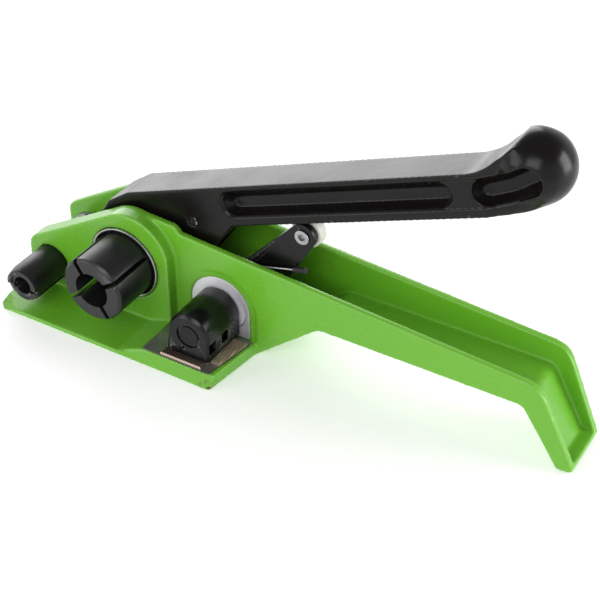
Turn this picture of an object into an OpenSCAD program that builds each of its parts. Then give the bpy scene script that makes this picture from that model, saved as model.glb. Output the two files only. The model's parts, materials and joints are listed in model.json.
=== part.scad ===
// Strapping tensioner: a hand tool that draws a plastic strap tight round a package.
// A slotted windlass winds the strap in, a ratchet holds it, an eccentric jaw grips the
// strap's other end on the foot, and a slotted cutter trims what is left over.
//
// Origin: on the windlass axis, in the face of the frame's raised boss.
// +X runs along the tool from the cutter to the hook, +Y into the tool, away from the
// side the strap is threaded from, and +Z up from the foot. Millimetres.

/* [Windlass] */
// Radius of the slotted drum
drum_r = 15.7; // [14.5:0.1:16]
// Length of the drum in front of the frame
drum_len = 24.5; // [20:0.5:28]
// Width of the two crossed strap slots
strap_slot_w = 2.3; // [1.5:0.1:3]
// Number of ratchet teeth
ratchet_teeth = 24; // [24:12:36]

/* [Frame] */
// Depth of the foot's flat base below the windlass axis
base_drop = 30.5; // [30:0.5:33]
// How far the foot reaches in front of the boss
foot_reach = 26; // [25:0.5:30]
// Outside width of the channel that holds the mechanism
frame_depth = 39.1; // [39:0.1:41]
// Thickness of the channel's walls
wall_t = 3.4; // [3:0.1:3.6]
// Thickness of the floors
floor_t = 2.4; // [2:0.1:2.8]

/* [Gripper] */
// Length of the jaw block
jaw_len = 24.4; // [20:0.2:25]
// Radius of the jaw's round top
jaw_r = 10.8; // [9:0.2:11.4]
// Throw of the eccentric that lifts the jaw
jaw_throw = 4; // [3:0.25:4.25]
// Pitch of the gripping teeth
tooth_pitch = 1.25; // [1:0.25:2]

/* [Lever] */
// Radius of the plastic roller
roller_r = 7.2; // [6:0.1:8]
// Width of the roller
roller_w = 5; // [4:0.5:6]

/* [Handle] */
// Rise of the handle at rest, in degrees
handle_tilt = 20.9; // [20.5:0.1:22]
// Height of the handle's arm
handle_h = 18.8; // [17:0.1:19]
// Width of the handle
handle_w = 20; // [19.5:0.1:20.5]

/* [Cutter] */
// Outside radius of the fixed cutter sleeve
sleeve_r = 9; // [8:0.25:10]
// Length of the sleeve in front of the frame
sleeve_len = 23; // [18:0.5:24]

/* [Hidden] */
$fn = 64;
run = 0.06;           // radial clearance of a running fit
gap = 0.02;           // side clearance between pieces that touch
circle_arc = 8;       // steps in a corner's arc
wire_sides = 8;       // sides of a spring wire
coil_steps = 16;      // rings in a turn of a spring

// Planes across the tool
arm_face = 6.1;                       // front face of the long arm's near wall
near_in = arm_face + wall_t;          // inner face of the near wall
far_in = frame_depth - wall_t;        // inner face of the far wall
base_z = -base_drop;
floor_z = base_z + floor_t;
seat_z = base_z + 6.5;                // top of the seat under the jaw
seat_edge = 3.3;                      // how far the seat's sides lean in
arm_floor_z = -1.5;                   // floor of the long arm
far_boss_t = 1.3;                     // height of the bosses on the far wall
grip_boss_y = near_in + 1.2;          // face of the gripper's inner boss

// Axes
cutter_c = [-43.5, -15.2];
jaw_c = [46.9, -11];
grip_c = jaw_c + [jaw_throw, 0];
arch_c = [47.3, -10.5];
arch_r = 15.3;
rim_r = 19;
step_lean = 2;                        // lean of the step's floor, in degrees

// Windlass shaft
ring_r = 18;
ring_in = 16.9;
ring_depth = 7;
shaft_r = 9;
shaft_end_r = 8;
ratchet_r = 20;
ratchet_root = 17;
ratchet_y = [17.5, 25.5];
tooth_phase = 7.5;
key_w = 5;
slot_turn = 32;

// Pawls: each pushes square on a tooth's steep face from a pivot on the tangent there
contact_r = 18.5;
drive_at = -22.5;
drive_reach = 36.4;
hold_at = -82.5;
hold_reach = 24;
pawl_pin_r = 2.2;
hold_pin_r = 3;
pawl_hub_r = 5;
pawl_y = [20, 25.4];

// Handle, in its own frame: x along the arm, y across it
handle_y = [11.5, 11.5 + handle_w];
handle_bottom = 10.7;
handle_top = handle_bottom + handle_h;
cheek_t = 4.4;
cheek_r = 25;
neck_r = 28;
ball_c = [205.5, 26.6];
ball_r = 15.2;
bush_wall = 2;

// Roller lever
lever_y = [13.8, 16.8];
lever_hub_y = 26;
lever_hub_r = 11;
lever_seat_r = 8;
lever_root_r = 12.5;
lever_tip_r = 6;
roller_gap = 0.05;
roller_c = turned([93.2, handle_bottom - roller_gap - roller_r], handle_tilt);
roller_y = [lever_y[1] + 0.3, lever_y[1] + 0.3 + roller_w];
rivet_r = 2.5;

// Cutter
cutter_shaft_r = 6;
cutter_bore_r = 4.6;
cutter_slot_w = 1.8;
cutter_slot_at = -25;
cutter_lever_y = [24, 31];

// ---- Helpers -------------------------------------------------------------------------

function polar(r, a) = r * [cos(a), sin(a)];
function turned(p, a) = [p.x * cos(a) - p.y * sin(a), p.x * sin(a) + p.y * cos(a)];
function unit(v) = v / norm(v);
// A signed angle between -180 and 180
function wrapped(a) = a > 180 ? a - 360 : a < -180 ? a + 360 : a;
// Where a pawl pivots: on the tangent at its contact, so many millimetres back
function pawl_pivot(at, reach) = polar(contact_r, at) + reach * polar(1, at + 90);

// The arc that rounds corner b, between a and c, to radius b[2]
function corner(a, b, c) =
    let (p = [b.x, b.y], u = unit([a.x, a.y] - p), v = unit([c.x, c.y] - p),
         half = acos(u * v) / 2, m = p + unit(u + v) * b[2] / sin(half),
         s = p + u * b[2] / tan(half) - m, e = p + v * b[2] / tan(half) - m,
         from = atan2(s.y, s.x), sweep = wrapped(atan2(e.y, e.x) - from))
    [for (i = [0:circle_arc]) m + polar(b[2], from + sweep * i / circle_arc)];
// An outline from corners [x, y, radius]; a radius of 0 keeps the corner sharp
function rounded(p) = let (n = len(p)) [
    for (i = [0:n - 1])
        for (q = p[i][2] > 0 ? corner(p[(i + n - 1) % n], p[i], p[(i + 1) % n]) : [[p[i].x, p[i].y]]) q
];

// An outline in the X-Z plane, extruded between two planes across the tool
module across(y0, y1) {
    translate([0, y1, 0]) rotate([90, 0, 0]) linear_extrude(y1 - y0) children();
}
module disc(c, r, y0, y1) {
    across(y0, y1) translate(c) circle(r);
}
module tube(c, r_out, r_in, y0, y1) {
    across(y0, y1) translate(c) difference() {
        circle(r_out);
        circle(r_in);
    }
}
// Two round ends joined by their outer tangents
module link(c1, r1, c2, r2) {
    d = c2 - c1;
    along = atan2(d.y, d.x);
    lean = acos((r1 - r2) / norm(d));
    translate(c1) circle(r1);
    translate(c2) circle(r2);
    polygon([
        c1 + polar(r1, along + lean), c2 + polar(r2, along + lean),
        c2 + polar(r2, along - lean), c1 + polar(r1, along - lean)
    ]);
}
// An open spring ring in its groove
module circlip(c, r_in, r_out, y0, y1) {
    across(y0, y1) translate(c) difference() {
        circle(r_out);
        circle(r_in);
        rotate(70) translate([0, -1.2]) square([r_out + 1, 2.4]);
        for (s = [1, -1]) rotate(70) translate([(r_in + r_out) / 2, s * 3]) circle(0.6);
    }
}
// A round wire along points [x, z, y]: each ring lies across the route
module wire(route, r) {
    n = len(route);
    rings = [for (i = [0:n - 1])
        let (a = route[max(i - 1, 0)], b = route[min(i + 1, n - 1)],
             t = unit([b.x - a.x, b.y - a.y]), p = route[i])
        for (k = [0:wire_sides - 1])
            let (w = 360 * k / wire_sides, s = r * cos(w))
            [p.x - t.y * s, p[2] + r * sin(w), p.y + t.x * s]];
    sides = [for (i = [0:n - 2], k = [0:wire_sides - 1])
        let (a = i * wire_sides + k, b = i * wire_sides + (k + 1) % wire_sides)
        [a, a + wire_sides, b + wire_sides, b]];
    polyhedron(rings, concat(sides, [[for (k = [0:wire_sides - 1]) k]],
        [[for (k = [wire_sides - 1:-1:0]) (n - 1) * wire_sides + k]]));
}
// Points of a coil about c, from angle a0 through the sweep, while y goes from y0 to y1
function coil(c, r, a0, sweep, y0, y1) =
    let (n = ceil(abs(sweep) / 360 * coil_steps))
    [for (i = [0:n]) let (p = c + polar(r, a0 + sweep * i / n)) [p.x, p.y, y0 + (y1 - y0) * i / n]];
function at_y(p, y) = [p.x, p.y, y];

// ---- Frame ---------------------------------------------------------------------------

boss_top = 26.2;
// Side outline of the whole body, with the hook at its end
body_outline = [
    [-56.4, base_z, 0], [-56.4, -5.3, 8], [-2.5, boss_top, 18], [24.6, 24.6, 2],
    [27.2, 21.4, 2], [199.9, 8.4, 6], [219, -29.4, 1.5], [211, -30.3, 2],
    [193.5, -3.8, 5], [98, -3.8, 8], [66.3, base_z, 0]
];
// The raised boss that carries the windlass and the cutter
boss_outline = [
    [-56.4, base_z, 0], [-56.4, -5.3, 8], [-2.5, boss_top, 18], [24, boss_top, 20], [24, base_z, 0]
];
// The far wall runs a little further to the left
far_outline = [
    [-61.5, base_z, 0], [-61.5, -8.5, 7], [-2.5, boss_top, 18], [24.6, 24.6, 2], [60, 18.9, 0],
    [60, base_z, 0]
];
// The space between the walls
channel = [
    [-70, -22, 0], [-54, -22, 1], [-54, floor_z, 1], [65.3, floor_z, 2], [97, arm_floor_z, 8],
    [194.9, arm_floor_z, 5], [211.6, -27.2, 1], [240, -26, 0], [240, 60, 0], [-70, 60, 0]
];
// Plan outline: the right end is drawn in towards the hook's tip
plan = [
    [-57.5, -foot_reach, 4.5], [62, -foot_reach, 1.5], [66.3, arm_face, 0], [219.1, arm_face, 2],
    [219.1, 34.6, 2], [200, frame_depth, 4], [-61.5, frame_depth, 2]
];
channel_plan = [
    [-70, near_in], [240, near_in], [240, 27], [219.1, 31.3], [199, far_in], [-70, far_in]
];
seat_side = [[12, floor_z], [25, seat_z], [68, seat_z], [68, base_z], [12, base_z]];
guide_plan = [[24, -22.2, 0], [59.8, -22.2, 0], [64.2, 4, 0], [64.2, arm_face, 0], [24, arm_face, 0]];
guide_t = 2;
screw_at = [[39.5, -8], [56.5, -6]];

// The seat's sides lean in from the base to its top
module seat() {
    intersection() {
        across(-foot_reach, near_in) polygon(seat_side);
        translate([0, 0, base_z]) linear_extrude(base_drop) polygon([
            [5, -foot_reach], [62, -foot_reach], [66.3, arm_face], [66.3, near_in], [5, near_in]
        ]);
        rotate([90, 0, 90]) linear_extrude(70) polygon([
            [-foot_reach, base_z], [-foot_reach + seat_edge, seat_z], [near_in, seat_z], [near_in, base_z]
        ]);
    }
}
module tombstone(c, r, bottom) {
    translate(c) circle(r);
    translate([c.x - r, bottom]) square([2 * r, c.y - bottom]);
}
module frame_solid() {
    intersection() {
        union() {
            across(arm_face, frame_depth) polygon(rounded(body_outline));
            across(0, near_in) polygon(rounded(boss_outline));
            across(far_in, frame_depth) polygon(rounded(far_outline));
            translate([0, 0, base_z]) linear_extrude(floor_t) polygon(rounded([
                [-57.5, -foot_reach, 4.5], [62, -foot_reach, 1.5], [66.3, arm_face, 0],
                [66.3, frame_depth, 0], [-61.5, frame_depth, 2]
            ]));
            seat();
        }
        translate([0, 0, -60]) linear_extrude(120) polygon(rounded(plan));
    }
}
module frame() {
    color("limegreen") difference() {
        union() {
            difference() {
                frame_solid();
                intersection() {
                    across(near_in, far_in) polygon(rounded(channel));
                    translate([0, 0, -60]) linear_extrude(130) polygon(channel_plan);
                }
                // Shallow step round the gripper's bearing plate, deepening to the right,
                // and the plate's own recess
                intersection() {
                    across(arm_face - 1, arm_face + 2) tombstone(arch_c, rim_r, seat_z);
                    translate([arch_c.x - 13, arm_face, -60]) rotate(step_lean)
                        translate([0, -5, 0]) cube([60, 5, 120]);
                }
                across(arm_face - 1, arm_face + 2.7) tombstone(arch_c, arch_r, seat_z - guide_t);
            }
            // Inner bosses for the gripper shaft, and outer ones on the far wall
            tube(grip_c, 14, lever_hub_r, arm_face + 2.7, grip_boss_y);
            disc(grip_c, 12, far_in - 2.6, frame_depth + far_boss_t);
            disc([0, 0], 16, far_in, frame_depth + far_boss_t);
            disc(cutter_c, 11.5, far_in, frame_depth + far_boss_t);
        }
        // Windlass
        disc([0, 0], ring_r, -1, ring_depth);
        disc([0, 0], ring_r + 0.5, -1, 0.8);
        disc([0, 0], shaft_r + 0.4, ring_depth - 1, near_in + 1);
        disc([0, 0], shaft_end_r + bush_wall + 0.5, far_in - 1, 60);
        // Cutter
        disc(cutter_c, sleeve_r, -1, near_in + 1);
        disc(cutter_c, cutter_shaft_r + run, far_in - 1, 60);
        translate([cutter_c.x, 4.8, base_z - 1]) cylinder(r = 2, h = 12);
        // Gripper
        disc(grip_c, lever_hub_r, arm_face, near_in + 4);
        disc(grip_c, 8, far_in - 3, 60);
        // Holding pawl pin, blind in the near wall
        disc(pawl_pivot(hold_at, hold_reach), hold_pin_r, near_in - 2.3, 60);
        // Guide plate and its screws
        translate([0, 0, seat_z - guide_t]) linear_extrude(guide_t + 1) polygon(rounded(guide_plan));
        for (p = screw_at) translate([p.x, p.y, base_z]) {
            translate([0, 0, -1]) cylinder(r = 2 + gap, h = 12);
            translate([0, 0, -gap]) cylinder(r1 = 4 + 2 * gap, r2 = 2 + gap, h = 2 + gap);
        }
    }
}

// ---- Foot plates ---------------------------------------------------------------------

serrated_plan = [[33.5, -21.7], [55, -21.7], [55.8, -15.6], [60.9, -15.6], [63.9, 3], [33.5, 3]];
serrated_top = seat_z + 1.5;
tooth_h = 0.6;

module guide_plate() {
    color("slategray") difference() {
        translate([0, 0, seat_z - guide_t]) linear_extrude(guide_t) polygon(rounded(guide_plan));
        translate([0, 0, seat_z - guide_t - 1]) linear_extrude(guide_t + 2) polygon(serrated_plan);
    }
}
// A strip with saw teeth along one side, from x0 to x1; the teeth point up or down
module toothed_strip(x0, x1, back, tips, way) {
    n = floor((x1 - x0) / tooth_pitch);
    polygon(concat([[x1, back], [x0, back]], [for (i = [0:n - 1]) for (q = [
        [x0 + i * tooth_pitch, tips - way * tooth_h],
        [x0 + (i + 0.8) * tooth_pitch, tips]
    ]) q], [[x1, tips - way * tooth_h]]));
}
module serrated_plate() {
    color("rosybrown") difference() {
        intersection() {
            across(-40, 20) toothed_strip(33.5, 63.9, seat_z - guide_t, serrated_top, 1);
            translate([0, 0, -40]) linear_extrude(40) polygon(serrated_plan);
        }
        for (p = screw_at) translate([p.x, p.y, seat_z - guide_t - 1]) cylinder(r = 2, h = 2.4);
    }
}
module plate_screws() {
    color("dimgray") for (p = screw_at) translate([p.x, p.y, base_z]) difference() {
        union() {
            cylinder(r1 = 4, r2 = 2, h = 2);
            cylinder(r = 2, h = seat_z - guide_t - base_z + 1.2);
        }
        translate([0, 0, -0.01]) cylinder(r = 1.45, h = 1.5, $fn = 6);
    }
}
module arch_plate() {
    color("silver") difference() {
        across(arm_face + 0.6, arm_face + 2.7) tombstone(arch_c, arch_r - gap, seat_z + gap);
        disc(grip_c, 9.5 + 0.3, 0, 20);
    }
}

// ---- Windlass ------------------------------------------------------------------------

module windlass_ring() {
    color("lightsteelblue") tube([0, 0], ring_r, ring_in, -0.5, ring_depth);
}
module windlass_far_bush() {
    color("darkgoldenrod") {
        tube([0, 0], shaft_end_r + bush_wall + 0.5, shaft_end_r + run, far_in, frame_depth + far_boss_t);
        tube([0, 0], 13, shaft_end_r + run, far_in - 1.5, far_in);
    }
}
// The turned body: a hollow slotted drum, a wide journal and a stepped shaft
windlass_end = frame_depth + far_boss_t + 4.4;
module windlass() {
    color("#202020") difference() {
        rotate([-90, 0, 0]) rotate_extrude() polygon([
            [8.6, -drum_len], [drum_r - 1.2, -drum_len], [drum_r, -drum_len + 1.2],
            [drum_r, 0.5], [ring_in - run, 2], [ring_in - run, ring_depth - 0.4],
            [shaft_r, ring_depth - 0.4], [shaft_r, far_in - 1.6], [shaft_end_r, far_in - 1.6],
            [shaft_end_r, windlass_end - 2.5], [shaft_end_r - 0.6, windlass_end - 2.5],
            [shaft_end_r - 0.6, windlass_end - 1.3], [shaft_end_r, windlass_end - 1.3],
            [shaft_end_r, windlass_end - 0.6], [shaft_end_r - 0.6, windlass_end],
            [0, windlass_end], [0, -3], [8.6, -3]
        ]);
        for (a = [0, 90]) rotate([0, -slot_turn - a, 0])
            translate([-30, -drum_len - 1, -strap_slot_w / 2]) cube([60, drum_len + 2, strap_slot_w]);
        translate([-key_w / 2, ratchet_y[0], shaft_r - 2.5]) cube([key_w, 8, 6]);
    }
}
module ratchet_wheel() {
    pitch = 360 / ratchet_teeth;
    color("gray") difference() {
        across(ratchet_y[0], ratchet_y[1]) difference() {
            polygon([for (i = [0:ratchet_teeth - 1]) for (r = [ratchet_r, ratchet_root])
                polar(r, tooth_phase + i * pitch)]);
            circle(shaft_r + gap);
        }
        translate([-key_w / 2, ratchet_y[0] - 1, 0]) cube([key_w, 12, shaft_r + 2.4]);
    }
}
module ratchet_key() {
    color("lightgray") translate([-key_w / 2 + gap, ratchet_y[0] + gap, shaft_r - 2.5 + gap])
        cube([key_w - 2 * gap, 8 - 2 * gap, 4.8]);
}
module windlass_washers() {
    out = frame_depth + far_boss_t;
    color("lightsteelblue") {
        tube([0, 0], 14, shaft_r + 0.1, near_in + 0.2, handle_y[0] - 0.2);
        tube([0, 0], 14, shaft_r + 0.1, handle_y[1] + 0.2, far_in - 1.7);
        tube([0, 0], 13, shaft_end_r + 0.1, out + 0.2, out + 1.7);
    }
}
module windlass_circlip() {
    color("#303030") circlip([0, 0], shaft_end_r - 0.6 + gap, 10.5, windlass_end - 2.5 + gap, windlass_end - 1.3 - gap);
}

// ---- Handle --------------------------------------------------------------------------

drive_c = pawl_pivot(drive_at, drive_reach);
tangent_at = -55.5;  // where the cheek's round edge runs into its straight one
handle_outline = concat(
    rounded([
        [199, 38.6, 0], [189.7, handle_top, neck_r], [6.2, handle_top, 3], [-7, 26, 3],
        at_y(polar(cheek_r, 128), 0)
    ]),
    [for (a = [134:6:180 + 124]) polar(cheek_r, a)],
    [[60, handle_bottom], [193, handle_bottom]],
    // The end of the arm runs out inside the ball
    [for (a = [-85:10:85]) ball_c + polar(12, a)],
    [[200.6, 39.2]]
);
pocket_t = 6;
pocket_bend = [[185.8, 21], [196.5, 22.6], [206.3, 26]];
module pocket(p, q, r, y0, y1) {
    across(y0, y1) rotate(handle_tilt) link(p, r, q, r - 0.01);
}
module handle() {
    mid = (handle_y[0] + handle_y[1]) / 2;
    color("#1c1c1c") difference() {
        union() {
            across(handle_y[0], handle_y[1]) rotate(handle_tilt) polygon(handle_outline);
            translate([turned(ball_c, handle_tilt).x, mid, turned(ball_c, handle_tilt).y])
                rotate([90, 0, 0]) sphere(ball_r);
        }
        // Room between the cheeks for the ratchet wheel and the drive pawl
        across(handle_y[0] + cheek_t, handle_y[1] - cheek_t) rotate(handle_tilt)
            polygon([[-40, -40], [-40, handle_top - 4], [50, handle_top - 4], [50, 4], [40, -40]]);
        disc([0, 0], shaft_r + bush_wall + run, 0, 60);
        disc(drive_c, pawl_pin_r, 0, 60);
        // Long and curved pockets lighten the arm from both sides, in one shallow panel
        for (side = [0, 1]) {
            panel = side == 0 ? [0, handle_y[0] + 1] : [handle_y[1] - 1, 60];
            deep = side == 0 ? [0, handle_y[0] + pocket_t] : [handle_y[1] - pocket_t, 60];
            pocket([64, 20.9], [174, 20.9], 6.4, panel[0], panel[1]);
            pocket([174, 20.9], pocket_bend[0], 6.4, panel[0], panel[1]);
            pocket([64.2, 20.9], [166, 20.9], 5.5, deep[0], deep[1]);
            for (k = [0, 1]) {
                pocket(pocket_bend[k], pocket_bend[k + 1], 6.4, panel[0], panel[1]);
                pocket(pocket_bend[k], pocket_bend[k + 1], 5.5, deep[0], deep[1]);
            }
        }
    }
}
module handle_bushes() {
    color("darkgoldenrod") for (y = [handle_y[0], handle_y[1] - cheek_t])
        tube([0, 0], shaft_r + bush_wall + run, shaft_r + run, y, y + cheek_t);
}
module drive_pawl_pin() {
    color("#303030") disc(drive_c, pawl_pin_r, handle_y[0] + 0.5, handle_y[1] - 0.5);
}

// ---- Pawls ---------------------------------------------------------------------------

// A pawl in its own frame: x out from the wheel's centre, y back along the tangent
module pawl(at, reach, bore_r) {
    across(pawl_y[0], pawl_y[1]) rotate(at) difference() {
        union() {
            polygon([
                [ratchet_root + 0.35, 0.12], [21.2, 0.12], [21.8, 0.8],
                [contact_r + pawl_hub_r, reach], [contact_r - pawl_hub_r * 0.9, reach - 2.2],
                [19.7, 5.3]
            ]);
            translate([contact_r, reach]) circle(pawl_hub_r);
        }
        translate([contact_r, reach]) circle(bore_r);
    }
}
function on_pawl(at, out, back) = turned([out, back], at);
peg_r = 1;
coil_wire = 0.6;
drive_peg = on_pawl(drive_at, contact_r + 1, drive_reach - 12);
hold_peg = on_pawl(hold_at, contact_r + 1.5, hold_reach - 11);
module drive_pawl() {
    color("#3a3a3a") {
        pawl(drive_at, drive_reach, pawl_pin_r + run);
        disc(drive_peg, peg_r, pawl_y[0] - 3, pawl_y[0]);
    }
}
module holding_pawl() {
    color("#3a3a3a") {
        pawl(hold_at, hold_reach, hold_pin_r + run);
        disc(hold_peg, peg_r, pawl_y[0] - 3, pawl_y[0]);
    }
}
hold_c = pawl_pivot(hold_at, hold_reach);
module holding_pawl_pin() {
    color("silver") {
        disc(hold_c, hold_pin_r, near_in - 2.2, frame_depth);
        disc(hold_c, hold_pin_r + 1.6, frame_depth, frame_depth + 1.4);
    }
}
// A torsion spring about c: a leg that ends at 'foot', a coil and a leg that ends at 'hook'
module torsion_spring(c, r, wire_r, foot, foot_at, hook, hook_at, turns, y0, y1) {
    sweep = turns * 360 + hook_at - foot_at;
    wire(concat([at_y(foot, y0)], coil(c, r, foot_at, sweep, y0, y1), [at_y(hook, y1)]), wire_r);
}
module drive_pawl_spring() {
    foot = turned([46, handle_top - 4 - coil_wire - 0.1], handle_tilt);
    color("silver") torsion_spring(drive_c, 4, coil_wire, foot, 20, drive_peg + polar(1.7, drive_at), drive_at, 1,
        handle_y[0] + cheek_t + 0.8, pawl_y[0] - 0.8);
}
module holding_pawl_spring() {
    color("silver") torsion_spring(hold_c, 5, coil_wire, [36, floor_z + 0.7], 10, hold_peg + polar(1.7, hold_at), hold_at,
        2, handle_y[0] + cheek_t + 0.8, pawl_y[0] - 0.8);
}

// ---- Gripper -------------------------------------------------------------------------

grip_end = frame_depth + far_boss_t + 3.2;
module gripper_bushes() {
    color("darkgoldenrod") {
        tube(grip_c, lever_hub_r, 9.5 + run, arm_face + 2.7, grip_boss_y);
        tube(grip_c, 8, 6 + run, far_in - 2.6, frame_depth + far_boss_t);
    }
}
module gripper_shaft() {
    front = jaw_y[0] + 0.2;
    color("#303030") difference() {
        union() {
            disc(jaw_c, 5, front, arm_face + 1);
            disc(grip_c, 9.5, arm_face + 0.7, grip_boss_y + 0.2);
            disc(grip_c, lever_seat_r, grip_boss_y + 0.2, lever_hub_y + 2);
            disc(grip_c, 6, lever_hub_y + 2, grip_end);
        }
        tube(jaw_c, 6, 4.4, front + 0.8, front + 1.8);
        tube(grip_c, 8, 5.4, grip_end - 2.2, grip_end - 1.2);
        lever_pin_hole();
    }
}
lever_pin_at = atan2(roller_c.y - grip_c.y, roller_c.x - grip_c.x);
module lever_pin_hole() {
    translate([grip_c.x, 22, grip_c.y]) rotate([0, 90 - lever_pin_at, 0]) cylinder(r = 1.75, h = 30, center = true);
}
module roller_lever() {
    color("#202020") difference() {
        union() {
            across(lever_y[0], lever_y[1]) link(grip_c, lever_root_r, roller_c, lever_tip_r);
            disc(grip_c, lever_hub_r, lever_y[1], lever_hub_y);
        }
        disc(grip_c, lever_seat_r + gap, 0, 60);
        disc(roller_c, rivet_r, 0, 60);
        lever_pin_hole();
    }
}
module lever_roll_pin() {
    color("silver") intersection() {
        difference() {
            lever_pin_hole();
            translate([grip_c.x, 22, grip_c.y]) rotate([0, 90 - lever_pin_at, 0]) cylinder(r = 0.9, h = 40, center = true);
        }
        disc(grip_c, lever_hub_r - 0.4, 0, 60);
    }
}
module gripper_circlip() {
    color("#303030") circlip(grip_c, 5.4 + gap, 8.4, grip_end - 2.2 + gap, grip_end - 1.2 - gap);
}
// A hollow rivet: its head shows in front of the lever, its shank carries the roller
module roller_rivet() {
    color("gainsboro") difference() {
        union() {
            disc(roller_c, 3.5, lever_y[0] - 0.9, lever_y[0]);
            disc(roller_c, rivet_r, lever_y[0], roller_y[1] + 0.3);
            disc(roller_c, 3.5, roller_y[1] + 0.3, roller_y[1] + 1.2);
        }
        disc(roller_c, 1.5, 0, lever_y[0] + 1.2);
    }
}
module roller() {
    color("whitesmoke") tube(roller_c, roller_r, rivet_r + run, roller_y[0], roller_y[1]);
}
// Coiled round the gripper shaft: its lower leg stands on the floor, and its upper one
// lies along the front of the lever and ends past the lever's edge
leg_y = lever_y[0] - 1.6;
leg_rise = 16;
leg_end = [88.6, 21];
module lever_spring() {
    r = 9.4;
    bend = leg_end - polar(36, leg_rise);
    color("silver") wire(concat(
        [[grip_c.x + 11, floor_z + 0.7, grip_boss_y + 0.7]],
        coil(grip_c, r, 0, 377, grip_boss_y + 0.7, lever_y[0] - 0.9),
        [at_y(bend - polar(2, 107), leg_y), at_y(bend + polar(1.5, 35), leg_y), at_y(leg_end - polar(1.5, leg_rise), leg_y)]
    ), 0.5);
}
module lever_spring_cap() {
    color("#181818") {
        translate([leg_end.x, leg_y, leg_end.y]) rotate([0, -90 - leg_rise, 0])
            difference() {
                cylinder(r = 1.5, h = 6);
                translate([0, 0, 1.4]) cylinder(r = 0.55, h = 6);
            }
    }
}
jaw_y = [-jaw_len + 5.9, 5.9];
jaw_bottom = serrated_top + 0.5;
jaw_flare = 1.6;      // how far the left flank leans out
jaw_bevel = 1.4;      // bevel round the front face
insert_t = 3.6;
insert_w = 9.4;
module gripper_jaw() {
    lean = atan(jaw_flare / (jaw_c.y - jaw_bottom));
    color("#262626") difference() {
        union() {
            // Round back, with a bevel round its front edge
            translate([jaw_c.x, 0, jaw_c.y]) rotate([-90, 0, 0]) rotate_extrude() polygon([
                [0, jaw_y[0]], [jaw_r - jaw_bevel, jaw_y[0]], [jaw_r, jaw_y[0] + jaw_bevel],
                [jaw_r, jaw_y[1]], [0, jaw_y[1]]
            ]);
            // Flanks, with the same bevel down their front edges
            difference() {
                across(jaw_y[0], jaw_y[1]) polygon(rounded([
                    [jaw_c.x - jaw_r, jaw_c.y, 0], [jaw_c.x - jaw_r - jaw_flare, jaw_bottom, 0.8],
                    [jaw_c.x + jaw_r, jaw_bottom, 0.8], [jaw_c.x + jaw_r, jaw_c.y, 0]
                ]));
                for (side = [-1, 1])
                    translate([jaw_c.x + side * jaw_r, jaw_y[0], jaw_c.y]) rotate([0, side < 0 ? lean : 0, 0])
                        translate([0, 0, -20]) linear_extrude(25) polygon([
                            [side, -1], [-side * (jaw_bevel + 1), -1], [side, jaw_bevel + 1]
                        ]);
            }
        }
        disc(jaw_c, 5 + run, -60, 60);
        disc(jaw_c, 5.9, jaw_y[0] - 1, jaw_y[0] + 2.2);
        across(-60, 60) translate([jaw_c.x - insert_w, jaw_bottom - 1]) square([2 * insert_w, insert_t]);
        // Notches in the right flank
        for (y = [jaw_y[0] + 1, jaw_y[0] + 10.5])
            translate([jaw_c.x + jaw_r - 2.5, y, -18]) cube([5, 5, 5.5]);
        disc([jaw_c.x - 3.5, jaw_bottom + 3], 1.5, jaw_y[0] - 1, jaw_y[0] + 7);
    }
}
module jaw_insert() {
    color("dimgray") difference() {
        across(jaw_y[0], jaw_y[1]) toothed_strip(jaw_c.x - insert_w, jaw_c.x + insert_w, jaw_bottom + insert_t - 1,
            serrated_top + 0.1, -1);
        disc([jaw_c.x - 3.5, jaw_bottom + 3], 1.5, jaw_y[0] - 1, jaw_y[0] + 7);
    }
}
module jaw_insert_pin() {
    color("#404040") tube([jaw_c.x - 3.5, jaw_bottom + 3], 1.5, 0.8, jaw_y[0] + 0.8, jaw_y[0] + 6.9);
}
module jaw_retaining_ring() {
    color("#303030") circlip(jaw_c, 4.4 + gap, 5.7, jaw_y[0] + 1.02, jaw_y[0] + 1.98);
}

// ---- Cutter --------------------------------------------------------------------------

cutter_end = frame_depth + far_boss_t + 3;
module cutter_slot(w) {
    translate([cutter_c.x, -sleeve_len - 5, cutter_c.y]) rotate([0, -cutter_slot_at, 0])
        translate([0, 0, -w / 2]) cube([20, sleeve_len + 3, w]);
}
module cutter_sleeve() {
    color("#262626") difference() {
        // The mouth narrows outside, and the lower half of its edge is cut back
        translate([cutter_c.x, 0, cutter_c.y]) rotate([-90, 0, 0]) rotate_extrude() polygon([
            [cutter_shaft_r + run, -sleeve_len], [sleeve_r - 0.9, -sleeve_len], [sleeve_r, -sleeve_len + 4.5],
            [sleeve_r, near_in + 2], [cutter_shaft_r + run, near_in + 2]
        ]);
        translate([cutter_c.x - 20, -sleeve_len - 1, cutter_c.y - 20.6]) cube([40, 2.4, 20]);
        cutter_slot(cutter_slot_w);
        translate([cutter_c.x, 4.8, cutter_c.y - sleeve_r - 1]) cylinder(r = 1.6, h = sleeve_r + 1);
    }
}
module cutter_sleeve_screw() {
    tip = cutter_c.y - cutter_shaft_r - 0.4;
    color("#303030") translate([cutter_c.x, 4.8, 0]) difference() {
        union() {
            translate([0, 0, cutter_c.y - sleeve_r]) cylinder(r = 1.6 - gap, h = tip - cutter_c.y + sleeve_r);
            translate([0, 0, base_z + 1]) cylinder(r = 2 - gap, h = cutter_c.y - sleeve_r - base_z - 1);
        }
        translate([0, 0, base_z]) cylinder(r = 1, h = 3, $fn = 6);
    }
}
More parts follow.
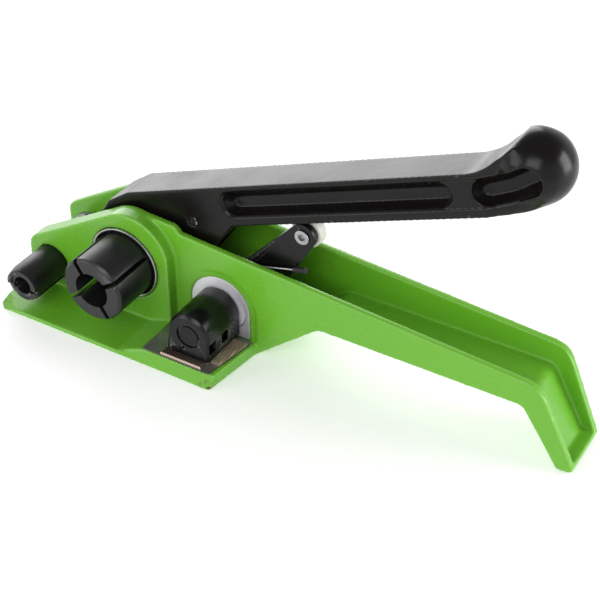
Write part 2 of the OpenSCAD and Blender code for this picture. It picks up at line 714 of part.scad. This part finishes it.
module cutter_shaft() {
    color("#3a3a3a") difference() {
        disc(cutter_c, cutter_shaft_r, -sleeve_len + 0.9, cutter_end);
        disc(cutter_c, cutter_bore_r, -sleeve_len, 2);
        cutter_slot(cutter_slot_w);
        // The strap lies in this notch across the mouth
        translate([cutter_c.x - 10, -sleeve_len, cutter_c.y - 2.4]) cube([10, 2.6, 2.4]);
        tube(cutter_c, 8, 5.4, cutter_end - 2, cutter_end - 1);
        cutter_pin_hole(cutter_shaft_r + 8);
    }
}
cutter_tip = [-25, -18.6];
module cutter_pin_hole(h) {
    translate([cutter_c.x, 27.5, cutter_c.y]) cylinder(r = 1.5, h = h * 2, center = true);
}
module cutter_lever() {
    color("#202020") {
        difference() {
            across(cutter_lever_y[0], cutter_lever_y[1]) link(cutter_c, 10, cutter_tip, 2.5);
            disc(cutter_c, cutter_shaft_r + gap, 0, 60);
            cutter_pin_hole(20);
        }
        disc(cutter_c + polar(8.9, 111.5), peg_r, cutter_lever_y[0] - 3, cutter_lever_y[0]);
    }
}
module cutter_roll_pin() {
    color("silver") intersection() {
        difference() {
            cutter_pin_hole(20);
            translate([cutter_c.x, 27.5, cutter_c.y]) cylinder(r = 0.8, h = 60, center = true);
        }
        disc(cutter_c, 9.1, 0, 60);
    }
}
module cutter_circlip() {
    color("#303030") circlip(cutter_c, 5.4 + gap, 8.4, cutter_end - 2 + gap, cutter_end - 1 - gap);
}
module cutter_spring() {
    color("silver") torsion_spring(cutter_c, 7.2, 0.6, [-52.5, floor_z + 0.7], 190, cutter_c + polar(10.2, 100), 100, 3,
        near_in + 3, cutter_lever_y[0] - 1);
}

frame();
guide_plate();
serrated_plate();
plate_screws();
arch_plate();
windlass_ring();
windlass_far_bush();
gripper_bushes();
holding_pawl_pin();
cutter_sleeve();
cutter_sleeve_screw();
windlass();
ratchet_wheel();
ratchet_key();
windlass_washers();
windlass_circlip();
handle();
handle_bushes();
drive_pawl_pin();
drive_pawl();
drive_pawl_spring();
holding_pawl();
holding_pawl_spring();
gripper_shaft();
roller_lever();
lever_roll_pin();
gripper_circlip();
roller_rivet();
roller();
lever_spring();
lever_spring_cap();
gripper_jaw();
jaw_insert();
jaw_insert_pin();
jaw_retaining_ring();
cutter_shaft();
cutter_lever();
cutter_roll_pin();
cutter_circlip();
cutter_spring();
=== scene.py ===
"""Looks of the strapping tensioner: materials, rounded castings, floor, light and camera."""
import json
import math

import bmesh
import bpy
from mathutils import Matrix, Vector


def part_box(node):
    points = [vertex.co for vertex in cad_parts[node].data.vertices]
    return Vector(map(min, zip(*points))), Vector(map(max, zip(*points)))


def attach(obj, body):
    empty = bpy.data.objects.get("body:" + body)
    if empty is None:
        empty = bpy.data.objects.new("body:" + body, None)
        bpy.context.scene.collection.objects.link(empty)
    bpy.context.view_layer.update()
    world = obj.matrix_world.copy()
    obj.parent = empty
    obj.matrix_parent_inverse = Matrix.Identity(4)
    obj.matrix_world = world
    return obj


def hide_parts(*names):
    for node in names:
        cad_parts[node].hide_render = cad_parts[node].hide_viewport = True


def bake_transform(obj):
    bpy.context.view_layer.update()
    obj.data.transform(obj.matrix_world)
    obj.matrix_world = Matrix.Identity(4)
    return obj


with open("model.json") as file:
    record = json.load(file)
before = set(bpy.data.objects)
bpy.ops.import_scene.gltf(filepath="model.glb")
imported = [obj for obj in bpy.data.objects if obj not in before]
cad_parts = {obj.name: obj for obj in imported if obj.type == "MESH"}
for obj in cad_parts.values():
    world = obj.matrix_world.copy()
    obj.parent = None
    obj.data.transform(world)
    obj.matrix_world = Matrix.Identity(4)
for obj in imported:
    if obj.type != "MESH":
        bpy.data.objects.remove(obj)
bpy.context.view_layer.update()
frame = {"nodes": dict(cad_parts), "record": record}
nodes = frame["nodes"]
MM = 0.001

# ---- Materials -----------------------------------------------------------------------


class Mat:
    """A node tree with a Principled shader, and short ways to feed it."""

    def __init__(self, name, color, rough, metal=0.0, coat=0.0, coat_rough=0.06, spec=0.5):
        self.m = bpy.data.materials.new(name)
        self.m.use_nodes = True
        self.t = self.m.node_tree
        self.bsdf = self.t.nodes["Principled BSDF"]
        self.set("Base Color", (*color, 1))
        self.set("Roughness", rough)
        self.set("Metallic", metal)
        self.set("Coat Weight", coat)
        self.set("Coat Roughness", coat_rough)
        self.set("Specular IOR Level", spec)
        self.base = (*color, 1)
        self.last_color = None
        self.coords = self.node("ShaderNodeTexCoord").outputs["Object"]
        self.normal = None

    def node(self, kind, **props):
        """A new node of the given kind, with its properties set."""
        n = self.t.nodes.new(kind)
        for k, v in props.items():
            setattr(n, k, v)
        return n

    def set(self, name, value):
        self.bsdf.inputs[name].default_value = value

    def link(self, a, b):
        self.t.links.new(a, b)

    def noise(self, scale, detail=3, rough=0.55, stretch=(1, 1, 1)):
        """Noise on the piece's own coordinates, drawn out along an axis by stretch."""
        m = self.node("ShaderNodeMapping")
        m.inputs["Scale"].default_value = stretch
        self.link(self.coords, m.inputs["Vector"])
        n = self.node("ShaderNodeTexNoise")
        n.inputs["Scale"].default_value = scale
        n.inputs["Detail"].default_value = detail
        n.inputs["Roughness"].default_value = rough
        self.link(m.outputs[0], n.inputs["Vector"])
        return n.outputs["Fac"]

    def ramp(self, fac, low, high, a=0.0, b=1.0):
        """The factor's range low to high, mapped to a to b."""
        r = self.node("ShaderNodeMapRange", clamp=True)
        for k, v in (("From Min", low), ("From Max", high), ("To Min", a), ("To Max", b)):
            r.inputs[k].default_value = v
        self.link(fac, r.inputs["Value"])
        return r.outputs["Result"]

    def times(self, a, b):
        n = self.node("ShaderNodeMath", operation="MULTIPLY")
        self.link(a, n.inputs[0])
        if isinstance(b, (int, float)):
            n.inputs[1].default_value = b
        else:
            self.link(b, n.inputs[1])
        return n.outputs[0]

    def tint(self, fac, color):
        """Mixes a colour over what the base colour is so far."""
        mix = self.node("ShaderNodeMix", data_type="RGBA")
        self.link(fac, mix.inputs["Factor"])
        if self.last_color is None:
            mix.inputs["A"].default_value = self.base
        else:
            self.link(self.last_color, mix.inputs["A"])
        mix.inputs["B"].default_value = (*color, 1)
        self.last_color = mix.outputs["Result"]
        self.link(self.last_color, self.bsdf.inputs["Base Color"])
        return self

    def roughness(self, fac, low, high):
        """Lets the roughness vary from low to high with a noise."""
        self.link(self.ramp(fac, 0.3, 0.7, low, high), self.bsdf.inputs["Roughness"])
        return self

    def bump(self, fac, strength, distance=0.0002):
        """Adds fine relief to what relief there is so far."""
        b = self.node("ShaderNodeBump")
        b.inputs["Strength"].default_value = strength
        b.inputs["Distance"].default_value = distance
        self.link(fac, b.inputs["Height"])
        if self.normal is not None:
            self.link(self.normal, b.inputs["Normal"])
        self.normal = b.outputs["Normal"]
        self.link(self.normal, self.bsdf.inputs["Normal"])
        return self

    def along(self, axis, low, high):
        """0 to 1 along an axis of the piece, between two places in metres."""
        n = self.node("ShaderNodeSeparateXYZ")
        self.link(self.coords, n.inputs[0])
        return self.ramp(n.outputs[axis], low, high)

    def near(self, point, radius):
        """1 at a place on the piece, falling to 0 at the radius; in millimetres."""
        d = self.node("ShaderNodeVectorMath", operation="DISTANCE")
        self.link(self.coords, d.inputs[0])
        d.inputs[1].default_value = [c * MM for c in point]
        return self.ramp(d.outputs["Value"], radius * MM, radius * 0.3 * MM)

    def edges(self, low=0.52, high=0.58):
        """Outer edges, where wear shows and where painted highlights go."""
        g = self.node("ShaderNodeNewGeometry")
        return self.ramp(g.outputs["Pointiness"], low, high)

    def shaded_crevices(self, low=0.48, high=0.42):
        """Inner corners, where painted shade darkens the surface."""
        g = self.node("ShaderNodeNewGeometry")
        return self.ramp(g.outputs["Pointiness"], low, high)


def srgb(r, g, b):
    """A linear colour from 8-bit sRGB values."""
    def linear(c):
        c /= 255
        return c / 12.92 if c <= 0.04045 else ((c + 0.055) / 1.055) ** 2.4
    return (linear(r), linear(g), linear(b))


def green_paint():
    """Glossy, paler on its edges from wear and a painted highlight, darker in its inner corners with painted
    shade, and chipped at the foot's corners and the seat.
    """
    m = Mat("green_enamel", srgb(103, 171, 40), 0.30, coat=0.12, coat_rough=0.10, spec=0.42)
    m.tint(m.ramp(m.noise(14, 2), 0.35, 0.7, 0, 0.35), srgb(92, 160, 40))
    # Paler edges: partly worn paint, partly a painted highlight along the rims
    m.tint(m.times(m.edges(0.515, 0.56), 0.35), srgb(165, 214, 124))
    # Painted shade darkening the inner corners
    m.tint(m.times(m.shaded_crevices(0.475, 0.42), 0.28), srgb(58, 124, 30))
    worn = m.ramp(m.noise(650, 3), 0.52, 0.60)
    for place, radius, bare in (
        ((61.5, -25.8, -30.2), 7, (84, 74, 44)),
        ((-57, -19, -29.5), 7, (96, 92, 52)),
        ((24.0, 3.2, -24.2), 4, (196, 186, 158)),
    ):
        m.tint(m.times(m.near(place, radius), worn), srgb(*bare))
    m.roughness(m.noise(60, 3), 0.22, 0.36)
    m.bump(m.noise(420, 2), 0.10, 0.00025)
    return m.bump(m.noise(90, 2), 0.10, 0.0007).m


def black_paint():
    """Glossy black, brushed on along the handle, and grey on its edges, partly from wear and partly as a
    painted highlight.
    """
    m = Mat("black_enamel", srgb(14, 12, 11), 0.24, spec=0.22)
    m.tint(m.ramp(m.noise(30, 3), 0.4, 0.7, 0, 0.5), srgb(21, 18, 17))
    # Grey edges: partly wear, partly a painted highlight along the rims
    m.tint(m.times(m.edges(0.525, 0.58), 0.40), srgb(84, 82, 82))
    m.roughness(m.noise(45, 3), 0.17, 0.30)
    m.bump(m.noise(500, 3, stretch=(0.25, 1, 1)), 0.16, 0.00018)
    return m.bump(m.noise(120, 2), 0.10, 0.0006).m


def black_oxide(name, base, spec, rough, edge=0.45):
    """Blackened steel, with grey edges, partly wear and partly a painted highlight, and a few bright worn
    flecks on them that are painted as glints.
    """
    m = Mat(name, srgb(*base), 0.40, spec=spec)
    m.tint(m.ramp(m.noise(80, 4), 0.4, 0.7, 0, 0.6), srgb(*[c + 11 for c in base]))
    # Grey edges: partly wear, partly a painted highlight
    m.tint(m.times(m.edges(0.55, 0.68), edge), srgb(112, 108, 112))
    # Bright flecks on the edges: worn spots, painted bright as glints
    chips_and_glints = m.times(m.edges(0.56, 0.66), m.ramp(m.noise(900, 2), 0.62, 0.68))
    m.tint(m.times(chips_and_glints, 0.7), srgb(180, 180, 176))
    m.roughness(m.noise(150, 4), *rough)
    return m.bump(m.noise(1400, 3), 0.14, 0.0001).m


def steel(name, color, second, rough, scratch=(1, 1, 14), metal=1.0):
    """Bright or plated metal in two shades, with fine scratches."""
    m = Mat(name, srgb(*color), rough, metal=metal)
    m.tint(m.ramp(m.noise(70, 4), 0.35, 0.7, 0, 0.7), srgb(*second))
    m.roughness(m.noise(220, 4, stretch=scratch), rough * 0.75, rough * 1.35)
    return m.bump(m.noise(1500, 4, stretch=scratch), 0.12, 0.00008).m


def shaft_steel():
    """Plated, and dark towards its front end."""
    m = Mat("shaft_plate", srgb(226, 224, 232), 0.40, metal=0.45)
    m.tint(m.ramp(m.noise(70, 4), 0.35, 0.7, 0, 0.7), srgb(206, 203, 216))
    # Dark towards the front end
    m.tint(m.along("Y", -0.008, -0.0085), srgb(12, 12, 13))
    m.roughness(m.noise(220, 4, stretch=(1, 1, 14)), 0.30, 0.50)
    return m.bump(m.noise(1500, 4), 0.12, 0.00008).m


def arch_steel():
    """Light zinc plate, with painted shade greying it in patches towards its right side."""
    m = Mat("arch_steel", srgb(240, 239, 244), 0.40, metal=0.4)
    m.tint(m.ramp(m.noise(70, 4), 0.35, 0.7, 0, 0.6), srgb(222, 220, 230))
    # Painted shade in patches, darkening the plate towards its right side
    shade_patches = m.ramp(m.noise(45, 3), 0.3, 0.6, 0.3, 0.75)
    m.tint(m.times(m.along("X", 0.044, 0.060), shade_patches), srgb(128, 126, 128))
    m.roughness(m.noise(220, 4, stretch=(14, 1, 1)), 0.30, 0.50)
    return m.bump(m.noise(1500, 4, stretch=(14, 1, 1)), 0.12, 0.00008).m


def tooth_steel():
    """Bare steel, with a painted shadow of the jaw along the strip in front of it, and a painted highlight
    on its front edge.
    """
    m = Mat("tooth_steel", srgb(184, 164, 150), 0.38, metal=0.45)
    m.tint(m.ramp(m.noise(70, 4), 0.35, 0.7, 0, 0.7), srgb(128, 108, 96))
    # Painted shadow of the jaw on the strip in front of it
    m.tint(m.times(m.along("Y", -0.0168, -0.0178), 0.75), srgb(46, 34, 31))
    # Painted highlight on the front edge
    m.tint(m.along("Y", -0.02155, -0.02165), srgb(222, 196, 180))
    m.roughness(m.noise(220, 4, stretch=(1, 1, 14)), 0.28, 0.50)
    return m.bump(m.noise(1500, 4, stretch=(1, 1, 14)), 0.12, 0.00008).m


def pin_steel():
    """Blackened, with bright flecks: worn spots, painted bright as glints."""
    m = Mat("pin_steel", srgb(40, 39, 38), 0.28, metal=0.6)
    # Bright flecks: worn spots, painted as glints
    m.tint(m.ramp(m.noise(650, 2), 0.54, 0.60), srgb(206, 200, 188))
    m.roughness(m.noise(220, 4), 0.22, 0.40)
    return m.bump(m.noise(900, 3), 0.25, 0.00012).m


def plastic(name, color, second, rough):
    """A plain plastic or rubber in two shades."""
    m = Mat(name, srgb(*color), rough, spec=0.4)
    m.tint(m.ramp(m.noise(60, 3), 0.35, 0.7, 0, 0.5), srgb(*second))
    m.roughness(m.noise(120, 3), rough * 0.85, rough * 1.2)
    return m.bump(m.noise(1000, 3), 0.08, 0.0001).m


M = {
    "green_paint": green_paint(),
    "black_paint": black_paint(),
    "black_steel": black_oxide("black_oxide", (14, 14, 15), 0.47, (0.30, 0.44)),
    "black_gloss": black_oxide("black_gloss", (8, 8, 9), 0.28, (0.20, 0.30), 0.30),
    "zinc_steel": steel("zinc_plate", (226, 224, 232), (206, 203, 216), 0.40, metal=0.45),
    "shaft_steel": shaft_steel(),
    "pin_steel": pin_steel(),
    "ring_steel": steel("ring_steel", (190, 188, 190), (140, 138, 142), 0.24),
    "guide_steel": steel("guide_steel", (138, 140, 132), (84, 88, 82), 0.30, metal=0.6),
    "arch_steel": arch_steel(),
    "tooth_steel": tooth_steel(),
    "spring_steel": steel("spring_wire", (175, 175, 180), (135, 135, 142), 0.26),
    "bronze": steel("sintered_bronze", (150, 112, 62), (112, 82, 44), 0.42),
    "nylon": plastic("nylon", (200, 199, 190), (186, 183, 173), 0.42),
    "rubber_cap": plastic("rubber", (16, 16, 16), (26, 26, 26), 0.55),
}
slots = {s["node"]: s["material_slot"] for s in frame["record"]["subparts"]}


def dress(o, material):
    """Gives the object this one material."""
    o.data.materials.clear()
    o.data.materials.append(material)


def put(o):
    """Links a new object into the scene."""
    bpy.context.scene.collection.objects.link(o)
    return o


def settle(o):
    """Applies the modifiers to the object's own mesh."""
    mesh = bpy.data.meshes.new_from_object(o.evaluated_get(bpy.context.evaluated_depsgraph_get()))
    o.modifiers.clear()
    o.data = mesh


# Each piece has its slot's material, but for those whose finish differs
finish = dict(
    slots,
    windlass_ring="ring_steel", roller_rivet="ring_steel",
    arch_plate="arch_steel", gripper_shaft="shaft_steel", drive_pawl_pin="pin_steel",
    gripper_jaw="black_gloss", jaw_insert="black_gloss",
    jaw_retaining_ring="black_gloss", roller_lever="black_gloss",
)
for name, o in nodes.items():
    dress(o, M[finish[name]])

# ---- Castings: rounded edges and corners ----------------------------------------------

# The handle's arm leans at this angle at rest, and its middle lies at this Y in millimetres
TILT = math.radians(20.9)
MIDDLE = 21.5
# Its side pockets' half width and depth, and how far its cheeks are from the middle
POCKET_R = 6.1
POCKET_DEPTH = 6.8
CHEEK = 10
# Centre lines of its long pocket and of the curved one in the knob
LONG = [(64.2, 20.9), (166, 20.9)]
BEAN = [(185.8, 21), (196.5, 22.6), (206.3, 26)]


def on_arm(h, n, y):
    """A point on the handle in metres, from h along its arm and n across it in millimetres."""
    x = h * math.cos(TILT) - n * math.sin(TILT)
    z = h * math.sin(TILT) + n * math.cos(TILT)
    return Vector((x, y, z)) * MM


def arm_place(v):
    """The h and n of a point."""
    x, z = v.x / MM, v.z / MM
    return x * math.cos(TILT) + z * math.sin(TILT), z * math.cos(TILT) - x * math.sin(TILT)


def rim(path):
    """Points round a path with round ends, as (centre, outward direction)."""
    way = [(Vector(b) - Vector(a)).normalized() for a, b in zip(path, path[1:])]
    side = [Vector((d.y, -d.x)) for d in way]
    joints = [(a + b).normalized() for a, b in zip(side[:1] + side, side + side[-1:])]
    steps = 12
    out = []
    for centres, sign, last in ((path, 1, way[-1]), (path[::-1], -1, -way[0])):
        normals = joints if sign > 0 else joints[::-1]
        for c, u in zip(centres, normals):
            out.append((Vector(c), u * sign))
        c, u = Vector(centres[-1]), normals[-1] * sign
        for k in range(1, steps):
            a = math.pi * k / steps
            out.append((c, u * math.cos(a) + last * math.sin(a)))
    return out


def loft(bm, loops, closed=False):
    """Quads between loops of points; a ring of loops when closed, else capped at its ends."""
    rows = [[bm.verts.new(p) for p in loop] for loop in loops]
    pairs = list(zip(rows, rows[1:])) + ([(rows[-1], rows[0])] if closed else [])
    n = len(rows[0])
    for a, b in pairs:
        for i in range(n):
            bm.faces.new((a[i], a[(i + 1) % n], b[(i + 1) % n], b[i]))
    if not closed:
        bm.faces.new(rows[0][::-1])
        bm.faces.new(rows[-1])


def pocket_walls(bm, path, drop):
    """Sloping walls that narrow a pocket towards its floor, on both sides of the handle."""
    section = ((POCKET_R, 0.9, 0), (POCKET_R, POCKET_DEPTH, 0), (2.1, POCKET_DEPTH, -drop))
    for face, way in ((MIDDLE - CHEEK, 1), (MIDDLE + CHEEK, -1)):
        loft(bm, [
            [on_arm(c.x + r * u.x, c.y + shift + r * u.y, face + way * depth) for c, u in rim(path)]
            for r, depth, shift in section
        ], closed=True)


def knob_flange(bm):
    """The arm's lower flange runs on round the knob and fades into it."""
    # Place along and across the arm, then half its width and half its thickness there
    stations = [
        (186, 13.4, 9.6, 2.5), (194, 13.3, 9.7, 2.5), (200, 13.5, 9.6, 2.4), (204.5, 14.4, 9.3, 2.3),
        (208.5, 16.0, 8.8, 2.2), (212, 18.6, 7.8, 2.2), (214.6, 22, 6.4, 2.2), (216, 26, 4.6, 2.2),
    ]
    section = [
        (-1, -0.7), (-0.8, -1), (0.8, -1), (1, -0.7), (1, 0.6), (0.85, 1), (-0.85, 1), (-1, 0.6),
    ]
    line = [Vector(s[:2]) for s in stations]
    loops = []
    for before, after, (h, n, w, t) in zip(line[:1] + line, line[1:] + line[-1:], stations):
        d = (after - before).normalized()
        u = Vector((d.y, -d.x))
        loops.append([
            on_arm(h + t * q * u.x, n + t * q * u.y, MIDDLE + w * p) for p, q in section
        ])
    loft(bm, loops)


def smoothstep(a, b, x):
    t = min(max((x - a) / (b - a), 0), 1)
    return t * t * (3 - 2 * t)


# Askew to the voxel grid, so that no long edge comes out stepped
SKEW = Matrix.Rotation(math.radians(37), 4, Vector((1, 2, 0.7)).normalized())


def casting(node, body, voxel, passes, fill=None, push=None, soft=None):
    """A rounded copy of a cast node. Fill adds to the solid, push moves the points of its
    surface, and soft weighs where it is smoothed far more.
    """
    bm = bmesh.new()
    bm.from_mesh(nodes[node].data)
    if fill:
        fill(bm)
    bm.transform(SKEW)
    mesh = bpy.data.meshes.new(node + "_casting")
    bm.to_mesh(mesh)
    bm.free()
    o = put(bpy.data.objects.new(node + "_casting", mesh))
    remesh = o.modifiers.new("remesh", "REMESH")
    remesh.mode = "VOXEL"
    remesh.voxel_size = voxel
    settle(o)
    o.data.transform(SKEW.inverted())
    if push:
        for v in o.data.vertices:
            push(v)
    if soft:
        group = o.vertex_groups.new(name="soft")
        for v in o.data.vertices:
            w = soft(v.co)
            if w > 0.02:
                group.add([v.index], w, "REPLACE")
        blend = o.modifiers.new("blend", "SMOOTH")
        blend.factor = 0.8
        blend.iterations = 90
        blend.vertex_group = "soft"
    smooth = o.modifiers.new("smooth", "SMOOTH")
    smooth.factor = 0.5
    smooth.iterations = passes
    settle(o)
    for p in o.data.polygons:
        p.use_smooth = True
    dress(o, M[slots[node]])
    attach(o, body)
    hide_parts(node)


def handle_fill(bm):
    pocket_walls(bm, LONG, 1.2)
    pocket_walls(bm, BEAN, 1.0)
    knob_flange(bm)


# The top of the arm where it sweeps up to the knob's crown
RAMP = [
    (172, 30.6), (182, 31.1), (187.5, 32.1), (193, 33.9),
    (197, 35.7), (200, 37.6), (202.9, 39.8), (205.5, 41.8),
]
FAR = 99


def crown_gap(h, n):
    """How far a point lies below the swept top of the arm."""
    h = min(max(h, RAMP[0][0]), RAMP[-1][0])
    for (a, low), (b, high) in zip(RAMP, RAMP[1:]):
        if h <= b:
            return low + (high - low) * (h - a) / (b - a) - n
    return FAR


def knob_soft(co):
    """Where the arm runs into the knob, outside the curved pocket."""
    h, n = arm_place(co)
    p = Vector((h, n))
    bean = [Vector(q) for q in BEAN]
    clear = FAR
    for a, b in zip(bean, bean[1:]):
        t = min(max((p - a).dot(b - a) / (b - a).length_squared, 0), 1)
        clear = min(clear, (p - a - (b - a) * t).length)
    on_cheek = abs(co.y / MM - MIDDLE) > 4
    mask = smoothstep(POCKET_R, 8.2, clear) if on_cheek else 1
    crown = 1 - 0.92 * smoothstep(3.5, 1.8, crown_gap(h, n))
    return mask * crown * smoothstep(184, 192, h) * (0.3 + 0.7 * smoothstep(216, 209, h))


def knob_crown(v):
    """The arm's flat top sweeps up to the crown of the knob, and both trim its ball."""
    h, n = arm_place(v.co)
    side = v.co.y / MM - MIDDLE
    gap = crown_gap(h, n)
    if gap < 0 and RAMP[0][0] < h < RAMP[-1][0]:
        n += gap
    # Under the curved pocket the knob's flanks are flush with the arm's
    half = CHEEK + 5.5 * max(smoothstep(204, 215, h), smoothstep(16, 24, n))
    if h > 190:
        side = max(-half, min(half, side))
    v.co = on_arm(h, n, MIDDLE + side)


# The foot's front left corner: a point on its chamfer's upper edge, the way it faces in
# plan, and how far it runs out
CHAMFER_AT = (-56.9, -16.1)
CHAMFER_WAY = (-0.658, -0.753)
CHAMFER_RUN = 5.3
# The corner over the hook: centre in X and Z, and radius
CORNER = (190.97, -4.97)
CORNER_R = 14


def frame_faces(v):
    """A chamfer across the foot's corner, a leaning face under the seat, a rounder hook."""
    x, y, z = v.co / MM
    out = (x - CHAMFER_AT[0]) * CHAMFER_WAY[0] + (y - CHAMFER_AT[1]) * CHAMFER_WAY[1]
    if out > CHAMFER_RUN:
        x -= CHAMFER_WAY[0] * (out - CHAMFER_RUN)
        y -= CHAMFER_WAY[1] * (out - CHAMFER_RUN)
        out = CHAMFER_RUN
    if out > 0 and y < -10 and x < -40:
        v.co = Vector((x, y, min(z, -28.1 - 0.43 * out))) * MM
    dx, dz = x - CORNER[0], z - CORNER[1]
    far = math.hypot(dx, dz)
    if far > CORNER_R and 26.8 < math.degrees(math.atan2(dz, dx)) < 85.7:
        v.co.x = (CORNER[0] + CORNER_R * dx / far) * MM
        v.co.z = (CORNER[1] + CORNER_R * dz / far) * MM
    if 10 < x < 67 and y < -20 and z < -23.9:
        lean = 0.508 * (z + 30.5) * smoothstep(10, 20, x)
        v.co.y = max(y, lean - 26) * MM


casting("frame", "frame", 0.0006, 8, push=frame_faces)
casting("handle", "handle", 0.0005, 6, fill=handle_fill, push=knob_crown, soft=knob_soft)

# ---- Springs: smooth-shaded copies of the wires ----------------------------------------


def spring(node):
    """A smooth-shaded copy of a spring, with its doubled points merged, shown in place of the node."""
    bm = bmesh.new()
    bm.from_mesh(nodes[node].data)
    bmesh.ops.remove_doubles(bm, verts=bm.verts, dist=1e-6)
    bmesh.ops.recalc_face_normals(bm, faces=bm.faces)
    for f in bm.faces:
        f.smooth = len(f.verts) < 5
    mesh = bpy.data.meshes.new(node + "_wire")
    bm.to_mesh(mesh)
    bm.free()
    o = put(bpy.data.objects.new(node + "_wire", mesh))
    dress(o, M[slots[node]])
    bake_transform(o)
    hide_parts(node)


spring("drive_pawl_spring")
spring("holding_pawl_spring")
spring("lever_spring")
spring("cutter_spring")

# ---- Machined pieces: small bevels -----------------------------------------------------

# Widths in millimetres
BEVEL = {
    "windlass": 0.7, "cutter_sleeve": 0.3, "cutter_shaft": 0.25, "gripper_jaw": 0.45, "roller_lever": 0.4,
    "arch_plate": 0.3, "roller": 0.5, "windlass_ring": 0.45, "roller_rivet": 0.3, "ratchet_wheel": 0.2,
    "cutter_lever": 0.4, "drive_pawl": 0.3, "holding_pawl": 0.3, "guide_plate": 0.15, "serrated_plate": 0.08,
    "jaw_insert": 0.08, "gripper_shaft": 0.3, "windlass_washers": 0.15, "windlass_far_bush": 0.2,
    "gripper_bushes": 0.2, "holding_pawl_pin": 0.3, "drive_pawl_pin": 0.3, "handle_bushes": 0.15,
}
for name, o in nodes.items():
    if o.hide_render:
        continue
    weld = o.modifiers.new("weld", "WELD")
    weld.merge_threshold = 1e-6
    if name in BEVEL:
        flat = o.modifiers.new("flat", "DECIMATE")
        flat.decimate_type = "DISSOLVE"
        flat.angle_limit = math.radians(0.5)
        bevel = o.modifiers.new("bevel", "BEVEL")
        bevel.width = BEVEL[name] * MM
        bevel.segments = 2
        bevel.limit_method = "ANGLE"
        bevel.angle_limit = math.radians(35)

# ---- Floor, light and camera ---------------------------------------------------------

AZ, EL = math.radians(30.75), math.radians(37.38)
AIM = Vector((73.9, 32.0, -13.4)) * MM
AWAY = 0.6368
BACK = Vector((math.sin(AZ) * math.cos(EL), -math.cos(AZ) * math.cos(EL), math.sin(EL)))

camera = bpy.data.objects.new("camera", bpy.data.cameras.new("camera"))
camera.data.lens = 84
camera.data.sensor_width = 36
camera.data.clip_start = 0.01
camera.location = AIM + BACK * AWAY
camera.rotation_euler = BACK.to_track_quat("Z", "Y").to_euler()
put(camera)
bpy.context.scene.camera = camera
bpy.context.scene.view_settings.view_transform = "Standard"

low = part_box("frame")[0][2]
floor_mesh = bpy.data.meshes.new("floor")
corners = [(-6, -6, low), (6, -6, low), (6, 6, low), (-6, 6, low)]
floor_mesh.from_pydata(corners, [], [(0, 1, 2, 3)])
floor = put(bpy.data.objects.new("floor", floor_mesh))
paper = Mat("floor", (0.84, 0.84, 0.84), 0.7, spec=0.2)
paper.set("Emission Color", (1, 1, 1, 1))
paper.set("Emission Strength", 0.28)
paper.tint(paper.ramp(paper.noise(3, 2), 0.4, 0.6, 0, 0.3), (0.82, 0.82, 0.82))
dress(floor, paper.m)

CENTRE = Vector((0.07, 0.01, 0.0))


def area(name, way, distance, size, radiance):
    """A soft box of the given brightness, in the given direction from the tool."""
    light = bpy.data.lights.new(name, "AREA")
    light.shape = "RECTANGLE"
    light.size, light.size_y = size
    light.energy = radiance * math.pi * size[0] * size[1]
    o = put(bpy.data.objects.new(name, light))
    way = Vector(way).normalized()
    o.location = CENTRE + way * distance
    o.rotation_euler = way.to_track_quat("Z", "Y").to_euler()


area("back_left", (-0.66, 0.68, 0.33), 1.1, (1.1, 0.8), 2.8)
area("right", (0.88, 0.34, 0.30), 1.1, (0.5, 0.7), 7.5)
area("front_left", (-0.72, -0.65, 0.38), 1.2, (0.6, 0.6), 2.6)
area("front_top", (0.12, -0.95, 0.75), 1.2, (0.7, 0.5), 4.4)

world = bpy.data.worlds.new("world")
bpy.context.scene.world = world
world.use_nodes = True
# The sky is brightest at the horizon and fades upwards
tree = world.node_tree
sky = tree.nodes["Background"]
coord = tree.nodes.new("ShaderNodeTexCoord")
split = tree.nodes.new("ShaderNodeSeparateXYZ")
fade = tree.nodes.new("ShaderNodeMapRange")
fade.interpolation_type = "SMOOTHSTEP"
for k, v in (("From Min", 0.25), ("From Max", 0.75), ("To Min", 0.95), ("To Max", 0.30)):
    fade.inputs[k].default_value = v
tree.links.new(coord.outputs["Generated"], split.inputs[0])
tree.links.new(split.outputs["Z"], fade.inputs["Value"])
tree.links.new(fade.outputs["Result"], sky.inputs["Strength"])
sky.inputs["Color"].default_value = (1, 1, 1, 1)
